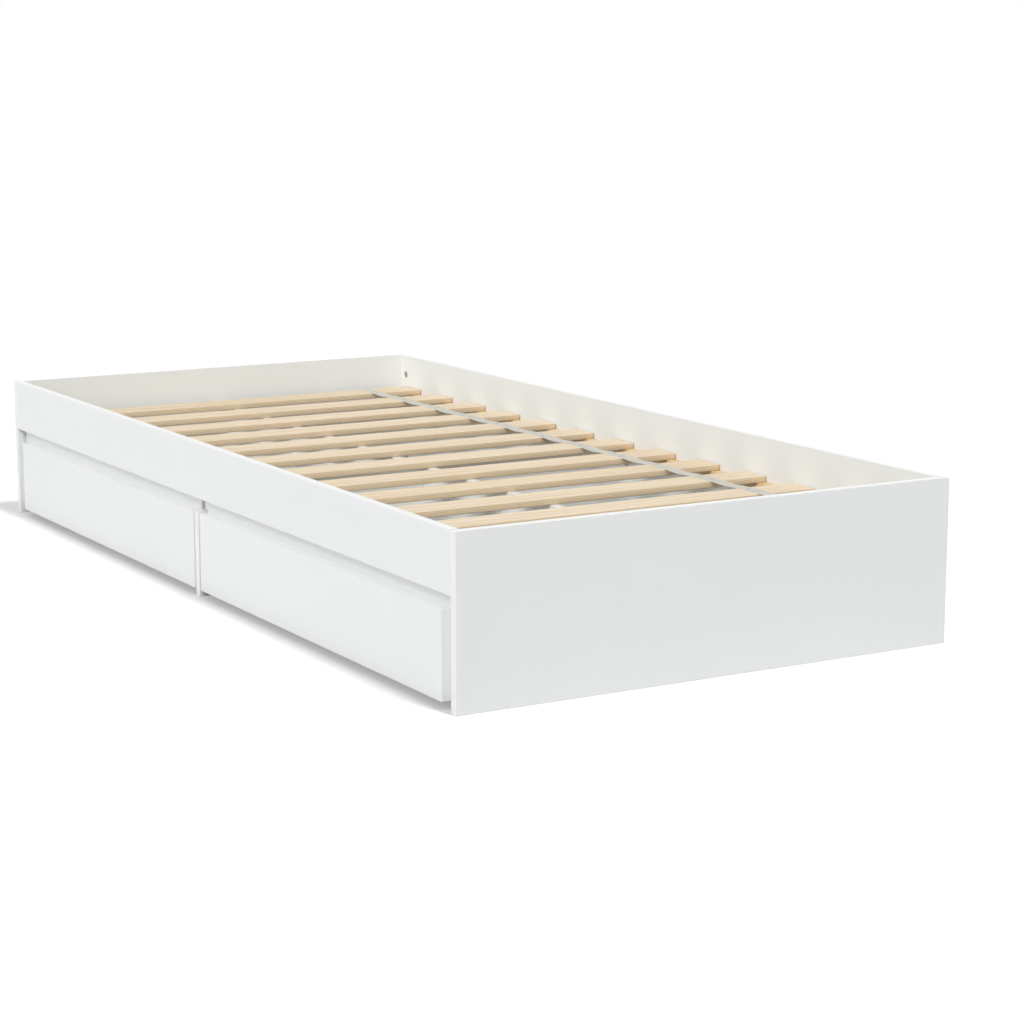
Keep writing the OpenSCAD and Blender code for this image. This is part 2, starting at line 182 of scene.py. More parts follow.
def longAxis(low, high):
    return max(range(3), key=lambda i: high[i] - low[i])


def thinAxis(low, high):
    return min(range(3), key=lambda i: high[i] - low[i])


def axisVector(axis, way=1):
    return Vector([way if i == axis else 0 for i in range(3)])


def sidewaysTo(axis):  # a direction square to the axis, straight up where that can be
    return axisVector(2 if axis != 2 else 0)


def spotAt(place, up, along):  # own Z along up, own X along along
    up, along = Vector(up).normalized(), Vector(along).normalized()
    turn = Matrix((along, up.cross(along), up)).transposed().to_4x4()
    return Matrix.Translation(place) @ turn


def screwSpots(name):  # each screw-like solid's length, and the place of its head, own Z out of it
    spots = []
    for points in solidsOf(name):
        low, high = boxOf(points)
        middle = (low + high) / 2
        axis = longAxis(low, high)
        across = [i for i in range(3) if i != axis]
        widest = max(points, key=lambda p: sum((p[i] - middle[i]) ** 2 for i in across))
        way = 1 if widest[axis] > middle[axis] else -1
        head = middle.copy()
        head[axis] = high[axis] if way > 0 else low[axis]
        length = round((high[axis] - low[axis]) / mm, 1)
        spots.append((spotAt(head, axisVector(axis, way), sidewaysTo(axis)), length))
    return spots


def setCopies(proto, spots, name):  # one piece made of a copy of the proto at each spot
    made = []
    for spot in spots:
        pickOnly(proto)
        bpy.ops.object.duplicate()
        bpy.context.object.matrix_world = spot
        made.append(bpy.context.object)
    piece = joinAll(made)
    bpy.ops.object.transform_apply(location=True, rotation=True, scale=True)
    piece.name = name
    return piece


def setFinishes(obj, materials):
    obj.data.materials.clear()
    for material in materials:
        obj.data.materials.append(material)


def settle(piece, body, slotName, material, *stoodFor):
    setFinishes(piece, [material])
    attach(piece, body)
    if stoodFor:
        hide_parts(*stoodFor)


def addNode(tree, kind, sockets=None, **settings):
    made = tree.nodes.new("ShaderNode" + kind)
    for name, value in settings.items():
        setattr(made, name, value)
    for name, value in (sockets or {}).items():
        if isinstance(value, bpy.types.NodeSocket):
            tree.links.new(value, made.inputs[name])
        else:
            made.inputs[name].default_value = value
    return made


def rgb(colour):
    return (*colour, 1)


def calc(tree, operation, *values):
    return addNode(tree, "Math", dict(enumerate(values)), operation=operation).outputs[0]


def mixColours(tree, factor, first, second):  # the Mix node's colours are its inputs 6 and 7 and its output 2
    return addNode(tree, "Mix", {0: factor, 6: first, 7: second}, data_type="RGBA").outputs[2]


def stretch(tree, vector, amounts):
    return addNode(tree, "VectorMath", {0: vector, 1: amounts}, operation="MULTIPLY").outputs[0]


def noise(tree, vector, scale, detail=2.0, roughness=0.5):
    sockets = {"Vector": vector, "Scale": scale, "Detail": detail, "Roughness": roughness}
    return addNode(tree, "TexNoise", sockets).outputs[0]


def fit(tree, value, fromLow, fromHigh, toLow=0.0, toHigh=1.0):
    sockets = {0: value, 1: fromLow, 2: fromHigh, 3: toLow, 4: toHigh}
    return addNode(tree, "MapRange", sockets).outputs[0]


def newGroup(name, inputs):  # a shared effect: it gives a colour, a height and a roughness
    tree = bpy.data.node_groups.new(name, "ShaderNodeTree")
    for label, kind in inputs.items():
        tree.interface.new_socket(label, in_out="INPUT", socket_type="NodeSocket" + kind)
    for label, kind in (("Color", "Color"), ("Height", "Float"), ("Roughness", "Float")):
        tree.interface.new_socket(label, in_out="OUTPUT", socket_type="NodeSocket" + kind)
    return tree, tree.nodes.new("NodeGroupInput").outputs, tree.nodes.new("NodeGroupOutput").inputs


def newMaterial(name, **sockets):
    material = bpy.data.materials.new(name)
    material.use_nodes = True
    tree = material.node_tree
    shader = tree.nodes["Principled BSDF"]
    for label, value in sockets.items():
        shader.inputs[label.replace("_", " ")].default_value = value
    place = addNode(tree, "TexCoord").outputs["Object"]
    return material, tree, shader.inputs, place


def addBump(tree, shader, height, strength, depth):
    bump = addNode(tree, "Bump", {"Height": height, "Strength": strength, "Distance": depth})
    tree.links.new(bump.outputs[0], shader["Normal"])


def dressWith(tree, shader, group, sockets, strength, depth):
    made = addNode(tree, "Group", sockets, node_tree=group)
    tree.links.new(made.outputs["Color"], shader["Base Color"])
    tree.links.new(made.outputs["Roughness"], shader["Roughness"])
    addBump(tree, shader, made.outputs["Height"], strength, depth)


print("camera, floor and light")
view = {"place": (-2.240, -4.179, 0.997), "heading": 59.8, "lookDown": 10.59, "lens": 89.2}
aim = (radians(90 - view["lookDown"]), 0, radians(view["heading"] - 90))
bpy.ops.object.camera_add(location=view["place"], rotation=aim)
scene.camera = bpy.context.object
scene.camera.data.lens = view["lens"]
scene.camera.data.clip_end = 400  # past the floor's edge

studio = {
    "sky": 0.34, "floorSize": 160, "floorGlow": 0.32, "floorSeen": 0.93, "floorBounce": 0.60,
    "lamps": [  # turn, power, softness and what it lights
        ("key", (24.7, 6.5, 0), 0.25, 9, "all"),
        ("floorKey", (24.7, 6.5, 0), 1.65, 9, "floor"),
        ("frontFill", (30.0, -35.3, 0), 1.86, 30, "object"),
        ("sideFill", (9.4, -69.7, 0), 0.72, 30, "object"),
        ("footFill", (70, 0, 0), 0.20, 30, "object"),
        ("backFill", (-43.8, 73.3, 0), 1.40, 30, "object"),
    ],
}


def seenDirectly(tree):  # 1 for what the camera, a gloss or clear glass sees
    path = addNode(tree, "LightPath").outputs
    seenInGloss = calc(tree, "MAXIMUM", path["Is Glossy Ray"], path["Is Transmission Ray"])
    return calc(tree, "MAXIMUM", path["Is Camera Ray"], seenInGloss)


def makeFloor():
    bpy.ops.mesh.primitive_plane_add(size=studio["floorSize"])
    floor = bpy.context.object
    floor.name = "floor"
    material = bpy.data.materials.new("floorPaper")
    material.use_nodes = True
    tree = material.node_tree
    tree.nodes.remove(tree.nodes["Principled BSDF"])
    paper = addNode(tree, "BsdfDiffuse", {"Color": rgb([studio["floorSeen"]] * 3)}).outputs[0]
    glow = addNode(tree, "Emission", {"Color": rgb((1, 1, 1)), "Strength": studio["floorGlow"]}).outputs[0]
    seen = addNode(tree, "AddShader", {0: paper, 1: glow}).outputs[0]
    bounce = addNode(tree, "BsdfDiffuse", {"Color": rgb([studio["floorBounce"]] * 3)}).outputs[0]
    both = addNode(tree, "MixShader", {0: seenDirectly(tree), 1: bounce, 2: seen}).outputs[0]
    tree.links.new(both, tree.nodes["Material Output"].inputs["Surface"])
    floor.data.materials.append(material)
    return floor


def makeSky():
    world = bpy.data.worlds.new("studio")
    scene.world = world
    world.use_nodes = True
    tree = world.node_tree
    strength = fit(tree, seenDirectly(tree), 0, 1, studio["sky"], 1)
    tree.links.new(strength, tree.nodes["Background"].inputs["Strength"])
    tree.nodes["Background"].inputs["Color"].default_value = rgb((1, 1, 1))


def makeLamps(floor):
    receivers = {"all": None}
    for kind, state in (("object", "EXCLUDE"), ("floor", "INCLUDE")):
        receivers[kind] = bpy.data.collections.new(kind + "Light")
        receivers[kind].objects.link(floor)
        receivers[kind].collection_objects[0].light_linking.link_state = state
    for name, turn, power, softness, kind in studio["lamps"]:
        bpy.ops.object.light_add(type="SUN", rotation=[radians(a) for a in turn])
        lamp = bpy.context.object
        lamp.name = name
        lamp.data.energy = power
        lamp.data.angle = radians(softness)
        lamp.light_linking.receiver_collection = receivers[kind]
        lamp.visible_glossy = kind != "object"  # the fills leave no highlights


floor = makeFloor()
makeSky()
makeLamps(floor)


print("finishes")


def buildWoodGrain():  # the grain runs along the vector's X
    tree, given, result = newGroup("woodGrain", {
        "Vector": "Vector", "Light": "Color", "Dark": "Color", "Rings": "Float", "Wander": "Float",
        "Contrast": "Float", "Fibre": "Float"})
    drawn = stretch(tree, given["Vector"], (0.14, 1, 1))
    warp = calc(tree, "MULTIPLY", calc(tree, "SUBTRACT", noise(tree, drawn, 11, 2), 0.5), given["Wander"])
    parts = addNode(tree, "SeparateXYZ", {0: given["Vector"]}).outputs
    across = calc(tree, "ADD", calc(tree, "MULTIPLY_ADD", parts[2], 0.45, parts[1]), warp)
    wave = calc(tree, "SINE", calc(tree, "MULTIPLY", across, calc(tree, "MULTIPLY", given["Rings"], 2 * pi)))
    rings = calc(tree, "POWER", fit(tree, wave, -1, 1), 2.6)  # narrow dark late wood between wide pale bands
    fibre = noise(tree, stretch(tree, given["Vector"], (0.022, 1, 1)), given["Fibre"], 3, 0.65)
    flecks = fit(tree, noise(tree, stretch(tree, given["Vector"], (0.07, 1, 1)), 1700, 1), 0.66, 0.76)
    patches = noise(tree, drawn, 26, 2)
    tone = calc(tree, "MULTIPLY_ADD", rings, 0.45, calc(tree, "MULTIPLY", fit(tree, fibre, 0.3, 0.7), 0.3))
    tone = calc(tree, "MULTIPLY_ADD", fit(tree, patches, 0.35, 0.7), 0.25, tone)
    tone = calc(tree, "MULTIPLY_ADD", flecks, 0.25, calc(tree, "MULTIPLY", tone, given["Contrast"]))
    tree.links.new(mixColours(tree, tone, given["Light"], given["Dark"]), result["Color"])
    height = calc(tree, "SUBTRACT", calc(tree, "MULTIPLY_ADD", rings, 0.25, fibre), flecks)
    tree.links.new(height, result["Height"])
    tree.links.new(fit(tree, fibre, 0.2, 0.8, 0.52, 0.7), result["Roughness"])
    return tree


def buildFineTexture():  # even pebbling and slow changes of tone, for laminate, lacquer and moulded plastic
    tree, given, result = newGroup("fineTexture", {
        "Vector": "Vector", "Pebble": "Float", "Light": "Color", "Dark": "Color", "Smooth": "Float",
        "Rough": "Float"})
    pebble = noise(tree, given["Vector"], given["Pebble"], 2)
    slow = fit(tree, noise(tree, given["Vector"], 3.1, 3), 0.3, 0.7)
    hands = fit(tree, noise(tree, given["Vector"], 17, 4, 0.6), 0.35, 0.7)  # where it has been touched
    tree.links.new(mixColours(tree, slow, given["Light"], given["Dark"]), result["Color"])
    wavy = noise(tree, given["Vector"], 60, 1)
    tree.links.new(calc(tree, "MULTIPLY_ADD", wavy, 0.8, pebble), result["Height"])
    spread = calc(tree, "SUBTRACT", given["Rough"], given["Smooth"])
    tree.links.new(calc(tree, "MULTIPLY_ADD", hands, spread, given["Smooth"]), result["Roughness"])
    return tree


woodGrain = buildWoodGrain()
fineTexture = buildFineTexture()

skinLooks = {  # pebble is a scale, smooth and rough are roughness, and strength and depth are the bump
    "whiteLaminate": {"light": (0.835, 0.852, 0.844), "dark": (0.822, 0.840, 0.832), "pebble": 1400,
                      "smooth": 0.34, "rough": 0.44, "strength": 0.12, "depth": 0.00006},
    "whiteEdgeBand": {"light": (0.858, 0.868, 0.862), "dark": (0.848, 0.858, 0.852), "pebble": 2200,
                      "smooth": 0.30, "rough": 0.38, "strength": 0.10, "depth": 0.00005},
    "whiteLacquer": {"light": (0.812, 0.822, 0.812), "dark": (0.800, 0.808, 0.798), "pebble": 900,
                     "smooth": 0.42, "rough": 0.55, "strength": 0.16, "depth": 0.00008},
    "blackNylon": {"light": (0.022, 0.022, 0.024), "dark": (0.030, 0.030, 0.032), "pebble": 2600,
                   "smooth": 0.45, "rough": 0.60, "strength": 0.5, "depth": 0.00008},
    "greyNylon": {"light": (0.24, 0.245, 0.25), "dark": (0.27, 0.275, 0.28), "pebble": 2200,
                  "smooth": 0.35, "rough": 0.50, "strength": 0.3, "depth": 0.00005},
}


def makeSkin(name):
    look = skinLooks[name]
    material, tree, shader, place = newMaterial(name)
    values = {"Vector": place, "Light": rgb(look["light"]), "Dark": rgb(look["dark"]),
              "Pebble": look["pebble"], "Smooth": look["smooth"], "Rough": look["rough"]}
    dressWith(tree, shader, fineTexture, values, look["strength"], look["depth"])
    return material


woodLooks = {  # turn brings the grain along the piece
    "pineBatten": {"light": (0.80, 0.62, 0.37), "dark": (0.62, 0.37, 0.15), "turn": (0, 0, 90),
                   "rings": 190, "wander": 0.012, "contrast": 0.9},
    "pineCross": {"light": (0.80, 0.62, 0.37), "dark": (0.62, 0.37, 0.15), "turn": (0, 0, 0),
                  "rings": 190, "wander": 0.012, "contrast": 0.9},
    "beechPin": {"light": (0.70, 0.48, 0.29), "dark": (0.50, 0.30, 0.15), "turn": (0, 0, 90),
                 "rings": 260, "wander": 0.004, "contrast": 0.8},
}
woodBump = {"fibre": 1100, "strength": 0.5, "depth": 0.00012}


def makeWood(name):
    look = woodLooks[name]
    material, tree, shader, place = newMaterial(name)
    turn = [radians(a) for a in look["turn"]]
    turned = addNode(tree, "Mapping", {"Vector": place, "Rotation": turn}).outputs[0]
    values = {"Vector": turned, "Light": rgb(look["light"]), "Dark": rgb(look["dark"]),
              "Rings": look["rings"], "Wander": look["wander"], "Contrast": look["contrast"],
              "Fibre": woodBump["fibre"]}
    dressWith(tree, shader, woodGrain, values, woodBump["strength"], woodBump["depth"])
    return material


laminate = makeSkin("whiteLaminate")
edgeBand = makeSkin("whiteEdgeBand")
thinWhite = makeSkin("whiteLacquer")
blackNylon = makeSkin("blackNylon")
greyNylon = makeSkin("greyNylon")
pine = makeWood("pineBatten")
pineCross = makeWood("pineCross")
beech = makeWood("beechPin")


def makeChipCore():  # pressed wood: a few large chips among many small ones, none with a straight edge
    look = {"large": 430, "small": 1250, "bent": 0.0022,
            "pale": (0.56, 0.41, 0.25), "dark": (0.24, 0.15, 0.08)}
    material, tree, shader, place = newMaterial("chipCore", Roughness=0.92)
    wander = addNode(tree, "TexNoise", {"Vector": place, "Scale": 600, "Detail": 3}).outputs["Color"]
    sockets = {0: wander, 1: [look["bent"]] * 3, 2: place}
    bent = addNode(tree, "VectorMath", sockets, operation="MULTIPLY_ADD").outputs[0]
    picks = {}
    for size in ("large", "small"):
        chips = addNode(tree, "TexVoronoi", {"Vector": bent, "Scale": look[size]})
        picks[size] = addNode(tree, "SeparateColor", {0: chips.outputs["Color"]}).outputs[0]
    fine = noise(tree, place, 2600, 3)
    isLarge = fit(tree, noise(tree, place, 190, 2), 0.5, 0.56)
    pick = addNode(tree, "Mix", {0: isLarge, 2: picks["small"], 3: picks["large"]}).outputs[0]
    tone = calc(tree, "MULTIPLY_ADD", fine, 0.45, calc(tree, "MULTIPLY", pick, 0.5))
    tree.links.new(mixColours(tree, tone, rgb(look["pale"]), rgb(look["dark"])), shader["Base Color"])
    addBump(tree, shader, calc(tree, "ADD", fine, pick), 0.8, 0.0003)
    return material


def makeFibreBack():  # bare underside of the thin panel
    look = {"pale": (0.36, 0.22, 0.12), "dark": (0.27, 0.155, 0.08), "weave": 900}
    material, tree, shader, place = newMaterial("fibreBack", Roughness=0.85)
    fine = noise(tree, place, look["weave"], 4, 0.7)
    tone = fit(tree, fine, 0.3, 0.7)
    tree.links.new(mixColours(tree, tone, rgb(look["pale"]), rgb(look["dark"])), shader["Base Color"])
    addBump(tree, shader, fine, 0.5, 0.0002)
    return material


chipCore = makeChipCore()
fibreBack = makeFibreBack()

slatLook = {"light": (0.83, 0.70, 0.51), "dark": (0.63, 0.46, 0.28), "paler": (0.86, 0.745, 0.57),
            "plies": 9, "glue": (0.42, 0.25, 0.12)}


def slatSeed(tree, place):  # a number and a shifted place for each slat, so that no two have the same grain
    first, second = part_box(slats[0]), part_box(slats[1])
    pitch = second[0].y - first[0].y
    start = (first[0].y + first[1].y) / 2 - pitch / 2
    parts = addNode(tree, "SeparateXYZ", {0: place}).outputs
    count = calc(tree, "FLOOR", calc(tree, "DIVIDE", calc(tree, "SUBTRACT", parts[1], start), pitch))
    pick = addNode(tree, "TexWhiteNoise", {"W": count}, noise_dimensions="1D").outputs
    shift = stretch(tree, pick["Color"], (4, 0.9, 0.6))
    return pick["Value"], addNode(tree, "VectorMath", {0: place, 1: shift}, operation="ADD").outputs[0]


def makeSlatFace():
    material, tree, shader, place = newMaterial("birchFace")
    seed, shifted = slatSeed(tree, place)
    light = mixColours(tree, seed, rgb(slatLook["light"]), rgb(slatLook["paler"]))
    values = {"Vector": shifted, "Rings": 46, "Wander": 0.075, "Contrast": 0.72, "Fibre": 1000,
              "Light": light, "Dark": rgb(slatLook["dark"])}
    dressWith(tree, shader, woodGrain, values, 0.4, 0.00012)
    return material


def makeSlatEdge():  # thin plies with dark glue lines, every second one across the grain
    material, tree, shader, place = newMaterial("birchPlies", Roughness=0.7)
    low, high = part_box(slats[0])
    parts = addNode(tree, "SeparateXYZ", {0: place}).outputs
    pliesPerMetre = slatLook["plies"] / (high.z - low.z)
    level = calc(tree, "MULTIPLY", calc(tree, "SUBTRACT", parts[2], low.z), pliesPerMetre)
    wobble = calc(tree, "MULTIPLY", calc(tree, "SUBTRACT", noise(tree, place, 22, 2), 0.5), 0.35)
    level = calc(tree, "ADD", level, wobble)
    odd = calc(tree, "FLOORED_MODULO", calc(tree, "FLOOR", level), 2)
    glue = calc(tree, "LESS_THAN", calc(tree, "FRACT", level), 0.14)
    fibre = noise(tree, stretch(tree, place, (0.04, 1, 1)), 1300, 2)
    ends = noise(tree, place, 1500, 2)
    tone = calc(tree, "MULTIPLY_ADD", odd, 0.35, calc(tree, "MULTIPLY", fit(tree, fibre, 0.3, 0.7), 0.35))
    tone = calc(tree, "MULTIPLY_ADD", calc(tree, "MULTIPLY", odd, ends), 0.4, tone)
    wood = mixColours(tree, tone, rgb(slatLook["light"]), rgb(slatLook["dark"]))
    glueLines = calc(tree, "MULTIPLY", glue, 0.6)
    tree.links.new(mixColours(tree, glueLines, wood, rgb(slatLook["glue"])), shader["Base Color"])
    addBump(tree, shader, calc(tree, "SUBTRACT", fibre, glue), 0.5, 0.0001)
    return material


def makeWebbing():  # ribs along the strap, each half a stitch behind the one beside it
    look = {"yarn": 1.25 * mm, "stitch": 2.5 * mm, "pale": (0.80, 0.775, 0.70), "dark": (0.52, 0.49, 0.42)}
    sheen = {"Sheen_Weight": 0.25, "Sheen_Roughness": 0.4}
    material, tree, shader, place = newMaterial("webbing", Roughness=0.88, **sheen)
    parts = addNode(tree, "SeparateXYZ", {0: place}).outputs
    column = calc(tree, "DIVIDE", parts[0], look["yarn"])
    rib = calc(tree, "ABSOLUTE", calc(tree, "SINE", calc(tree, "MULTIPLY", column, pi)))
    late = calc(tree, "MULTIPLY", calc(tree, "FLOORED_MODULO", calc(tree, "FLOOR", column), 2), pi)
    turn = calc(tree, "MULTIPLY_ADD", parts[1], 2 * pi / look["stitch"], late)
    bead = fit(tree, calc(tree, "SINE", turn), -1, 1)
    height = calc(tree, "MULTIPLY", rib, calc(tree, "MULTIPLY_ADD", bead, 0.7, 0.3))
    fuzz = noise(tree, place, 2500, 2)
    # painted shade: the colour is darker in the hollows between ribs and beads, where the weave's relief would
    # be shaded, and the fuzz adds tone that differs at random
    tone = calc(tree, "MULTIPLY_ADD", fuzz, 0.3, calc(tree, "MULTIPLY", height, 0.8))
    tree.links.new(mixColours(tree, tone, rgb(look["dark"]), rgb(look["pale"])), shader["Base Color"])
    addBump(tree, shader, calc(tree, "MULTIPLY_ADD", fuzz, 0.2, height), 0.9, 0.0004)
    return material


metalLooks = {  # the grain's scale, and roughness from smooth to rough
    "zincPlate": {"pale": (0.70, 0.70, 0.69), "dark": (0.58, 0.58, 0.56), "smooth": 0.22, "rough": 0.38,
                  "grain": 700},
    "castZinc": {"pale": (0.56, 0.56, 0.56), "dark": (0.44, 0.44, 0.45), "smooth": 0.38, "rough": 0.55,
                 "grain": 1100},
    "stapleWire": {"pale": (0.66, 0.66, 0.66), "dark": (0.55, 0.55, 0.56), "smooth": 0.2, "rough": 0.3,
                   "grain": 900},
}


def makeMetal(name):
    look = metalLooks[name]
    material, tree, shader, place = newMaterial(name, Metallic=1.0)
    cloud = noise(tree, place, look["grain"], 4, 0.6)
    tone = fit(tree, cloud, 0.3, 0.7)
    tree.links.new(mixColours(tree, tone, rgb(look["pale"]), rgb(look["dark"])), shader["Base Color"])
    tree.links.new(fit(tree, cloud, 0.3, 0.7, look["smooth"], look["rough"]), shader["Roughness"])
    addBump(tree, shader, cloud, 0.25, 0.00004)
    return material


birchFace = makeSlatFace()
birchPlies = makeSlatEdge()
webbing = makeWebbing()
zincPlate = makeMetal("zincPlate")
castZinc = makeMetal("castZinc")
stapleWire = makeMetal("stapleWire")


print("boards")
boardLook = {"corner": 1.6 * mm, "crisp": 50}  # reach of a rounded corner, and the angle that stays sharp


def soften(node):  # its chamfers read as small rounds, and its holes stay crisp
    node.data.polygons.foreach_set("use_smooth", [True] * len(node.data.polygons))
    addModifier(node, "WELD", merge_threshold=tiny)
    addModifier(node, "EDGE_SPLIT", split_angle=radians(boardLook["crisp"]))
    addModifier(node, "WEIGHTED_NORMAL")


def dressBoard(name, rawSides, bandedTo=None):
    # rawSides are the narrow sides without a band, such as 1 for +X or -3 for the underside
    # bandedTo is a place along X: nothing before it is raw, so the step in the divider's corner has a band
    node = nodes[name]
    low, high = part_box(name)
    thin = thinAxis(low, high)
    setFinishes(node, [laminate, edgeBand, chipCore])
    for face in node.data.polygons:
        side, middle = face.normal, face.center
        sides = [(i + 1) * way for i in range(3) if i != thin for way, edge in ((-1, low[i]), (1, high[i]))
                 if abs(middle[i] - edge) < boardLook["corner"] and side[i] * way > 0.3]
        depth = min(middle[thin] - low[thin], high[thin] - middle[thin])
        onFace = abs(side[thin]) > 0.95 and depth < small
        inStep = bandedTo is not None and middle.x < bandedTo
        raw = not inStep and (not sides or sides[0] in rawSides)
        rawCorner = raw and sides and abs(side[thin]) > 0.3
        if onFace or rawCorner:  # the laminate goes round a raw side's small rounding
            face.material_index = 0
        else:
            face.material_index = 2 if raw else 1
    soften(node)


dressBoard("head_panel", (-3,))
dressBoard("foot_panel", (-3,))
dressBoard("drawer_rail", (-2, 2))
dressBoard("wall_side_panel", (-2, 2, -3))
dressBoard("centre_divider", (1, -3), bandedTo=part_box("foot_drawer_front")[1].x)
dressBoard("centre_board_foot", (-2, 2, -3))
dressBoard("centre_board_head", (-2, 2, -3))
for drawer in drawers:
    dressBoard(f"{drawer}_drawer_face", ())
    dressBoard(f"{drawer}_drawer_front", (-3,))
    dressBoard(f"{drawer}_drawer_side_inner", (-1, -3))
    dressBoard(f"{drawer}_drawer_side_outer", (-1, -3))
    dressBoard(f"{drawer}_drawer_back", (-2, 2, -3))

print("wood")
for name in slats:
    setFinishes(nodes[name], [birchFace, birchPlies])
    for face in nodes[name].data.polygons:
        face.material_index = 0 if abs(face.normal.z) > 0.9 else 1
    soften(nodes[name])
for name in ("slat_ledge_left", "slat_ledge_right"):
    setFinishes(nodes[name], [pine])
    soften(nodes[name])
for drawer in drawers:
    setFinishes(nodes[f"{drawer}_drawer_bottom_rail"], [pineCross])
    soften(nodes[f"{drawer}_drawer_bottom_rail"])
    bottom = nodes[f"{drawer}_drawer_bottom"]
    setFinishes(bottom, [thinWhite, fibreBack])
    for face in bottom.data.polygons:
        face.material_index = 0 if face.normal.z > 0.9 else 1


print("screws and bolts")


def cutCross(obj, top, reach, half, depth):  # the cross recess for the driver, narrower at its foot
    for sizes, foot in (((reach, half), (0.45, 0.7, 1)), ((half, reach), (0.7, 0.45, 1))):
        cutter = addBlock((-sizes[0], -sizes[1], top - depth), (sizes[0], sizes[1], top + mm))
        editFaces(cutter, lambda middle, side: side.z < -0.9)
        bpy.ops.transform.resize(value=foot, center_override=(0, 0, top - depth))
        editOff()
        cutWith(obj, cutter)


threadLook = {"steps": 12, "fatness": 0.55, "height": 0.9}


def addThread(obj, core, outer, pitch, low, high):
    across = outer - core
    steps = threadLook["steps"]
    turns = max(1, int((high - low) / pitch))
    bpy.ops.mesh.primitive_circle_add(vertices=3, radius=across, location=(core + across * 0.1, 0, low),
                                      rotation=(pi / 2, pi / 2, 0))
    bpy.ops.object.transform_apply(location=True, rotation=True, scale=True)
    thread = bpy.context.object
    editAll(thread)
    bpy.ops.transform.resize(value=(threadLook["height"], 1, threadLook["fatness"]),
                             center_override=(core, 0, low))
    editOff()
    applyModifier(thread, "SCREW", axis="Z", angle=2 * pi, screw_offset=pitch, iterations=turns, steps=steps,
                  render_steps=steps)
    editAll(thread)
    bpy.ops.mesh.fill_holes(sides=3)
    bpy.ops.mesh.normals_make_consistent(inside=False)
    editOff()
    return joinAll([obj, thread])


def pointTip(length, look):  # a pointed end under the selected face of a screw's core
    pushOut(z=-look["tip"])
    shrink(0.12, -length)
    editOff()


screwLook = {"head": 4 * mm, "headDepth": 2.5 * mm, "rim": 0.3 * mm, "core": 1.45 * mm, "thread": 1.98 * mm,
             "pitch": 1.9 * mm, "plain": 3 * mm, "tip": 3.5 * mm, "cross": (2.1 * mm, 0.42 * mm, 1.7 * mm)}


def makeScrew(length):  # the flat of the head is at z = 0 and the tip points down
    look = screwLook
    neck = look["headDepth"]
    coneDepth = neck - look["rim"]
    bpy.ops.mesh.primitive_cone_add(vertices=24, radius1=look["core"], radius2=look["head"], depth=coneDepth,
                                    location=(0, 0, -look["rim"] - coneDepth / 2))
    bpy.ops.object.transform_apply(location=True, rotation=False, scale=False)
    screw = bpy.context.object
    editFaces(screw, lambda middle, side: side.z > 0.9)
    pushOut(z=look["rim"] * 0.7)
    pushOut(z=look["rim"] * 0.3)
    shrink(0.965, 0)
    editOff()
    editFaces(screw, lambda middle, side: side.z < -0.9)
    pushOut(z=-(length - neck - look["tip"]))
    pointTip(length, look)
    cutCross(screw, 0, *look["cross"])
    low, high = -length + look["tip"], -neck - look["plain"]
    screw = addThread(screw, look["core"], look["thread"], look["pitch"], low, high)
    smoothBy(screw, 35)
    return screw


panLook = {"head": 3.5 * mm, "headDepth": 1.8 * mm, "skirt": 0.55, "core": 1.3 * mm, "thread": 1.74 * mm,
           "pitch": 1.4 * mm, "plain": 0.5 * mm, "tip": 2.5 * mm, "cross": (1.8 * mm, 0.38 * mm, 1.3 * mm),
           "dome": ((0.3, 0.9, -0.25), (0.17, 0.8, -0.08), (0.08, 0.7, 0))}  # rise, width, height of a ring


def makePanScrew(length):
    look = panLook
    under = look["headDepth"]
    screw = addRod(look["head"], -under, -look["skirt"] * under, 24)
    editFaces(screw, lambda middle, side: side.z > 0.9)
    for rise, narrower, height in look["dome"]:
        pushOut(z=rise * under)
        shrink(narrower, height * under)
    editOff()
    editFaces(screw, lambda middle, side: side.z < -0.9)
    bpy.ops.mesh.inset(thickness=look["head"] - look["core"])
    pushOut(z=-(length - under - look["tip"]))
    pointTip(length, look)
    cutCross(screw, 0, *look["cross"])
    low, high = -length + look["tip"], -under - look["plain"]
    screw = addThread(screw, look["core"], look["thread"], look["pitch"], low, high)
    smoothBy(screw, 35)
    return screw


camBoltLook = {"head": 3.5 * mm, "headDepth": 4 * mm, "soft": 0.5 * mm, "neck": 2 * mm, "neckEnd": 8 * mm,
               "flare": 0.6 * mm, "shaft": 2.45 * mm, "shaftEnd": 23 * mm, "plain": 0.3 * mm,
               "core": 1.9 * mm, "thread": 2.49 * mm, "pitch": 1.6 * mm, "tip": 1.5 * mm,
               "cross": (1.9 * mm, 0.4 * mm, 1.3 * mm)}


def makeCamBolt(length):
    look = camBoltLook
    bolt = addRod(look["head"], -look["headDepth"], 0, 24)
    bevelEdges(bolt, isLevel, look["soft"], 2)
    editFaces(bolt, lambda middle, side: side.z < -0.99 and middle.xy.length < small)
    bpy.ops.mesh.inset(thickness=look["head"] - look["soft"] - look["neck"])
    pushOut(z=-(look["neckEnd"] - look["headDepth"] - look["flare"]))
    pushOut(z=-look["flare"])
    shrink(look["shaft"] / look["neck"], -look["neckEnd"])
    pushOut(z=-(look["shaftEnd"] - look["neckEnd"]))
    bpy.ops.mesh.inset(thickness=look["shaft"] - look["core"])
    pushOut(z=-(length - look["shaftEnd"] - look["tip"]))
    pushOut(z=-look["tip"])
    shrink(0.55, -length)
    editOff()
    cutCross(bolt, 0, *look["cross"])
    low, high = -length + look["tip"], -look["shaftEnd"] - look["plain"]
    bolt = addThread(bolt, look["core"], look["thread"], look["pitch"], low, high)
    smoothBy(bolt, 35)
    return bolt


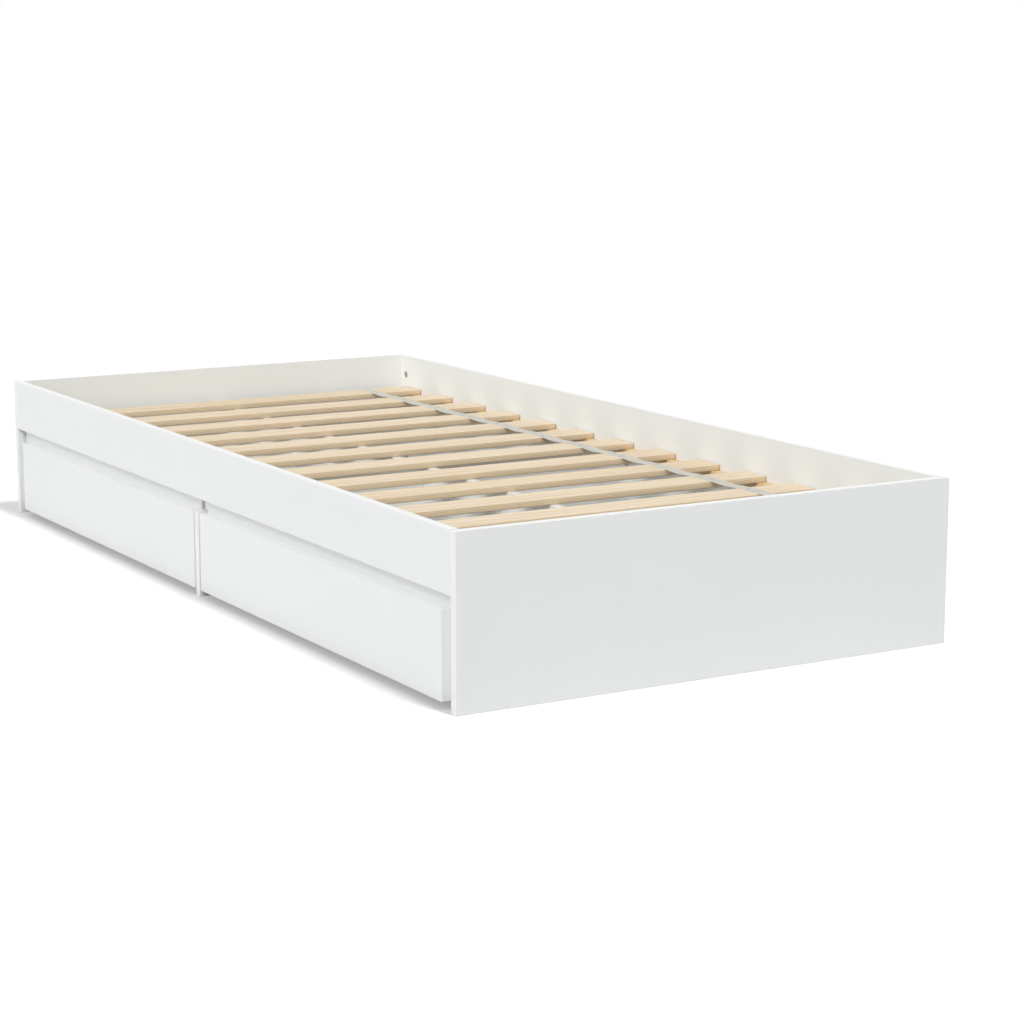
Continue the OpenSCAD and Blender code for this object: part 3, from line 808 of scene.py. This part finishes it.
camLook = {"radius": 7.4 * mm, "depth": 12.5 * mm, "soft": 0.25 * mm, "rim": 0.9 * mm, "lip": 0.15 * mm,
           "sunk": 0.5 * mm, "cross": (3.4 * mm, 0.6 * mm, 3.6 * mm), "boltDepth": 8 * mm,
           "mouth": 3.6 * mm, "mouthLength": 8 * mm, "mouthAt": 5 * mm,
           "arrow": 1.3 * mm, "arrowAt": 4.9 * mm, "arrowDepth": 0.5 * mm}


def makeCamLock():  # the bolt comes in from +X
    look = camLook
    cam = addRod(look["radius"], -look["depth"], 0, 48)
    bevelEdges(cam, isLevel, look["soft"], 2)
    editFaces(cam, lambda middle, side: side.z > 0.99 and middle.xy.length < small)
    bpy.ops.mesh.inset(thickness=look["rim"])
    bpy.ops.mesh.inset(thickness=look["lip"], depth=-look["sunk"])
    editOff()
    cutCross(cam, -look["sunk"], *look["cross"])
    bpy.ops.mesh.primitive_cylinder_add(vertices=24, radius=look["mouth"], depth=look["mouthLength"],
                                        location=(look["mouthAt"], 0, -look["boltDepth"]),
                                        rotation=(0, pi / 2, 0))
    cutWith(cam, bpy.context.object)
    bpy.ops.mesh.primitive_cylinder_add(vertices=3, radius=look["arrow"], depth=look["arrowDepth"],
                                        location=(look["arrowAt"], 0, -look["sunk"]),
                                        rotation=(0, 0, -pi / 2))
    cam = joinAll([cam, bpy.context.object])
    smoothBy(cam, 35)
    return cam


dowelLook = {"radius": 4 * mm, "half": 15 * mm, "flutes": 15, "fluteDepth": 0.93,
             "chamfer": 1.2 * mm, "end": 0.8}


def makeDowel():
    look = dowelLook
    sides = 2 * look["flutes"]
    dowel = addRod(look["radius"], -look["half"] + look["chamfer"], look["half"] - look["chamfer"], sides)
    unpick(dowel, "VERT")
    for point in dowel.data.vertices:
        step = atan2(point.co.y, point.co.x) / (2 * pi / sides)
        point.select = round(step) % 2 == 0
    bpy.ops.object.mode_set(mode="EDIT")
    shrink(look["fluteDepth"], 0)
    editOff()
    for way in (-1, 1):
        editFaces(dowel, lambda middle, side: side.z * way > 0.9)
        pushOut(z=way * look["chamfer"])
        shrink(look["end"], way * look["half"])
        editOff()
    smoothBy(dowel, 20)
    return dowel


def placeScrews(name, make, body):  # each length is modelled once
    byLength = {}
    for spot, length in screwSpots(name):
        byLength.setdefault(length, []).append(spot)
    sets = []
    for length, spots in byLength.items():
        proto = make(length * mm)
        sets.append(setCopies(proto, spots, name + "_turned"))
        bpy.data.objects.remove(proto)
    piece = joinAll(sets)
    piece.name = name + "_turned"
    settle(piece, body, "zinc_steel", zincPlate, name)


def camSpots():  # each lock's face, with its own X towards its bolt
    bolts = [sum(boxOf(points), Vector()) / 2 for points in solidsOf("cam_bolts")]
    locked = ("drawer_rail", "wall_side_panel", "centre_divider", "centre_board_foot", "centre_board_head")
    boards = [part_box(name) for name in locked]
    spots = []
    for points in solidsOf("cam_locks"):
        low, high = boxOf(points)
        middle = (low + high) / 2
        axis = thinAxis(low, high)
        board = next(b for b in boards if all(b[0][i] < middle[i] < b[1][i] for i in range(3)))
        way = 1 if middle[axis] > (board[0][axis] + board[1][axis]) / 2 else -1
        towards = min(bolts, key=lambda bolt: (bolt - middle).length) - middle
        towards[axis] = 0
        face = middle.copy()
        face[axis] = high[axis] if way > 0 else low[axis]
        spots.append(spotAt(face, axisVector(axis, way), towards))
    return spots


def dowelSpots():
    spots = []
    for points in solidsOf("dowels"):
        low, high = boxOf(points)
        axis = longAxis(low, high)
        spots.append(spotAt((low + high) / 2, axisVector(axis), sidewaysTo(axis)))
    return spots


placeScrews("slat_screws", makeScrew, "frame")
placeScrews("ledge_screws", makeScrew, "frame")
placeScrews("cam_bolts", makeCamBolt, "frame")
for drawer in drawers:
    placeScrews(f"{drawer}_drawer_face_screws", makeScrew, f"{drawer}_drawer")
    placeScrews(f"{drawer}_drawer_box_screws", makeScrew, f"{drawer}_drawer")
    placeScrews(f"{drawer}_drawer_bracket_screws", makePanScrew, f"{drawer}_drawer")

camProto = makeCamLock()
settle(setCopies(camProto, camSpots(), "cam_locks_cast"), "frame", "cam_metal", castZinc, "cam_locks")
bpy.data.objects.remove(camProto)
dowelProto = makeDowel()
settle(setCopies(dowelProto, dowelSpots(), "dowels_fluted"), "frame", "dowel_wood", beech, "dowels")
bpy.data.objects.remove(dowelProto)


print("wheels and brackets")
wheelLook = {"radius": 15 * mm, "tread": 10.8 * mm, "soft": 1 * mm, "rim": 3.9 * mm, "web": 4 * mm,
             "hub": 6.3 * mm, "hubLength": 12 * mm, "bore": 2.05 * mm, "draft": 0.3 * mm,
             "ribs": 6, "rib": 0.7 * mm, "ribBack": 0.9 * mm}


def makeWheel():  # its axle lies along Y
    look = wheelLook
    draft = look["draft"]
    sunk = (look["tread"] - look["web"]) / 2
    raised = (look["hubLength"] - look["web"]) / 2
    inner = look["radius"] - look["rim"] - draft
    wheel = addRod(look["radius"], -look["tread"] / 2, look["tread"] / 2, 64)
    bevelEdges(wheel, isLevel, look["soft"], 3)
    editFaces(wheel, lambda middle, side: abs(side.z) > 0.99 and middle.xy.length < small)
    bpy.ops.mesh.inset(thickness=look["rim"] - look["soft"])
    bpy.ops.mesh.inset(thickness=draft, depth=-sunk)
    bpy.ops.mesh.inset(thickness=inner - look["hub"] - draft)
    bpy.ops.mesh.inset(thickness=draft, depth=raised)
    bpy.ops.mesh.inset(thickness=look["hub"] - look["bore"])
    bpy.ops.mesh.bridge_edge_loops()
    editOff()
    parts = [wheel]
    reach = look["tread"] / 2 - look["ribBack"]
    for i in range(look["ribs"]):  # each rib starts inside the hub and ends inside the rim
        rib = addBlock((look["hub"] - 0.4 * mm, -look["rib"], -reach), (inner + 0.5 * mm, look["rib"], reach))
        rib.rotation_euler = (0, 0, 2 * pi * i / look["ribs"])
        parts.append(rib)
    wheel = joinAll(parts)
    wheel.rotation_euler = (pi / 2, 0, 0)
    bpy.ops.object.transform_apply(location=True, rotation=True, scale=True)
    smoothBy(wheel, 35)
    return wheel


def lieAlongY(rod):
    rod.rotation_euler = (-pi / 2, 0, 0)
    pickOnly(rod)
    bpy.ops.object.transform_apply(location=True, rotation=True, scale=True)
    return rod


bracketLook = {"wide": 28 * mm, "low": 1 * mm, "high": 19 * mm, "wall": 2.5 * mm, "deep": 18.6 * mm,
               "ear": 5 * mm, "bore": 2.03 * mm, "boss": 0.4 * mm, "roundEnd": 0.96, "corner": 3 * mm,
               "soft": 0.3 * mm,
               "ribAt": 16 * mm, "rib": 0.9 * mm, "ribLow": 3 * mm, "ribHigh": 17 * mm, "ribProud": 1.4 * mm}


def makeBracket():  # the axle is at the origin, on the box side's face, and Y points away from the side
    look = bracketLook
    wall, deep, ear, high = look["wall"], look["deep"], look["ear"], look["high"]
    plate = addBlock((-look["wide"], 0, look["low"]), (look["wide"], wall, high))
    bevelEdges(plate, lambda a, b: abs(a.y - b.y) > small, look["corner"], 4)
    nearEar = addBlock((-ear, 0.05 * mm, -ear), (ear, wall + look["boss"], high - mm))
    farEar = addBlock((-ear, 0.5 * mm, high - wall), (ear, deep, high))
    editAll(farEar)
    bpy.ops.mesh.bisect(plane_co=(0, deep - wall, 0), plane_no=(0, 1, 0))
    editOff()
    editFaces(farEar, lambda middle, side: side.z < -0.9 and middle.y > deep - wall)
    pushOut(z=-(high - wall + ear))
    editOff()
    for block in (nearEar, farEar):
        bevelEdges(block, lambda a, b: max(a.z, b.z) < small - ear and abs(a.y - b.y) > small,
                   look["roundEnd"] * ear, 8)
        cutWith(block, lieAlongY(addRod(look["bore"], -mm, deep + mm, 24)))
    notch = look["bore"] + 0.5 * mm  # the near ear fills it round the axle
    cutWith(plate, addBlock((-notch, -mm, -notch), (notch, wall + mm, notch)))
    parts = [plate, nearEar, farEar]
    for way in (-1, 1):
        near, far = sorted((way * look["ribAt"], way * (look["ribAt"] + 2 * look["rib"])))
        corner = (far, wall + look["ribProud"], look["ribHigh"])
        parts.append(addBlock((near, 0.5 * mm, look["ribLow"]), corner))
    for part in parts:
        applyModifier(part, "BEVEL", width=look["soft"], segments=2, limit_method="ANGLE",
                      angle_limit=radians(40))
    bracket = joinAll(parts)
    smoothBy(bracket, 35)
    return bracket


axleLook = {"head": 3.2 * mm, "headDepth": 1.2 * mm, "pin": 1.99 * mm, "tip": 0.4 * mm}


def makeAxle(length):
    look = axleLook
    depth = look["headDepth"]
    axle = addRod(look["head"], -depth, -0.5 * depth, 24)
    editFaces(axle, lambda middle, side: side.z > 0.9)
    pushOut(z=0.35 * depth)
    shrink(0.88, -0.15 * depth)
    pushOut(z=0.15 * depth)
    shrink(0.75, 0)
    editOff()
    editFaces(axle, lambda middle, side: side.z < -0.9)
    bpy.ops.mesh.inset(thickness=look["head"] - look["pin"])
    pushOut(z=-(length - depth - look["tip"]))
    pushOut(z=-look["tip"])
    shrink(0.8, -length)
    editOff()
    smoothBy(axle, 35)
    return axle


def bracketSpots(drawer):
    sides = [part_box(f"{drawer}_drawer_side_{place}") for place in ("inner", "outer")]
    spots = []
    for points in solidsOf(f"{drawer}_drawer_wheel_brackets"):
        low, high = boxOf(points)
        middle = (low + high) / 2
        board = min(((a + b) / 2 for a, b in sides), key=lambda centre: abs(centre.y - middle.y))
        away = 1 if middle.y > board.y else -1
        axle = (middle.x, low.y if away > 0 else high.y, low.z + bracketLook["ear"])
        spots.append(spotAt(axle, (0, 0, 1), (away, 0, 0)))
    return spots


wheelProto = makeWheel()
bracketProto = makeBracket()
for drawer in drawers:
    piece = setCopies(bracketProto, bracketSpots(drawer), f"{drawer}_bracket_mouldings")
    settle(piece, f"{drawer}_drawer", "bracket_plastic", blackNylon, f"{drawer}_drawer_wheel_brackets")
    placeScrews(f"{drawer}_drawer_axles", makeAxle, f"{drawer}_drawer")
    for place in wheelPlaces:
        name = f"{drawer}_wheel_{place}"
        low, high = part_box(name)
        piece = setCopies(wheelProto, [Matrix.Translation((low + high) / 2)], name + "_ribbed")
        settle(piece, name, "wheel_plastic", greyNylon, name)
bpy.data.objects.remove(wheelProto)
bpy.data.objects.remove(bracketProto)


print("slat straps and staples")
strapLook = {"thick": 1 * mm, "sag": 1.6 * mm, "across": 5, "along": 24}


def makeStrap(low, high):  # one space between slats, repeated, with half a slat's width more at each end
    look = strapLook
    first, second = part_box(slats[0]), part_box(slats[1])
    slatWidth = first[1].y - first[0].y
    pitch = second[0].y - first[0].y
    between = (first[1].y + second[0].y) / 2
    centre = (low.x + high.x) / 2
    bpy.ops.mesh.primitive_grid_add(x_subdivisions=look["across"], y_subdivisions=look["along"], size=1,
                                    location=(centre, between, low.z))
    strap = bpy.context.object
    strap.scale = (high.x - low.x, pitch, 1)
    bpy.ops.object.transform_apply(location=True, rotation=False, scale=True)
    editEdges(strap, lambda a, b: abs(a.y - between) < small and abs(b.y - between) < small)
    bpy.ops.transform.translate(value=(0, 0, -look["sag"]), use_proportional_edit=True,
                                proportional_edit_falloff="SMOOTH", proportional_size=(pitch - slatWidth) / 2)
    editOff()
    applyModifier(strap, "ARRAY", count=len(slats) - 1, use_relative_offset=False, use_constant_offset=True,
                  constant_offset_displace=(0, pitch, 0), use_merge_vertices=True, merge_threshold=small)
    ends = (between - pitch / 2, between - pitch / 2 + pitch * (len(slats) - 1))
    for end, way in zip(ends, (-1, 1)):
        editEdges(strap, lambda a, b: abs(a.y - end) < small and abs(b.y - end) < small)
        pushOut(y=way * slatWidth / 2)
        editOff()
    applyModifier(strap, "SOLIDIFY", thickness=look["thick"], offset=1)
    smoothBy(strap, 40)
    return strap


stapleLook = {"half": 5 * mm, "wide": 0.6 * mm, "thick": 0.5 * mm, "leg": 4 * mm, "soft": 0.15 * mm,
              "fromMiddle": 16 * mm}


def makeStaple():  # the strap's top is at z = 0, and the legs go down into the slat
    look = stapleLook
    corner = look["half"] - look["thick"]
    staple = addBlock((-corner, -look["wide"], 0), (corner, look["wide"], look["thick"]))
    editFaces(staple, lambda middle, side: abs(side.x) > 0.9)
    bpy.ops.mesh.inset(thickness=0, depth=look["thick"])
    editOff()
    editFaces(staple, lambda middle, side: side.z < -0.9 and abs(middle.x) > corner)
    pushOut(z=-look["leg"])
    editOff()
    applyModifier(staple, "BEVEL", width=look["soft"], segments=1, limit_method="ANGLE",
                  angle_limit=radians(60))
    smoothBy(staple, 35)
    return staple


def stapleSpots(strapBoxes):  # two on each slat under each strap
    spots = []
    for low, high in strapBoxes:
        for name in slats:
            slatLow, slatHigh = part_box(name)
            for way in (-1, 1):
                y = (slatLow.y + slatHigh.y) / 2 + way * stapleLook["fromMiddle"]
                spots.append(spotAt(((low.x + high.x) / 2, y, high.z), (0, 0, 1), (1, 0, 0)))
    return spots


straps = [makeStrap(*boxOf(points)) for points in solidsOf("slat_straps")]
strapBoxes = [boxOf([point.co for point in strap.data.vertices]) for strap in straps]
piece = joinAll(straps)
piece.name = "slat_straps_woven"
settle(piece, "frame", "strap_fabric", webbing, "slat_straps")
stapleProto = makeStaple()
settle(setCopies(stapleProto, stapleSpots(strapBoxes), "strap_staples"), "frame", "zinc_steel", stapleWire)
bpy.data.objects.remove(stapleProto)

print("sizes")
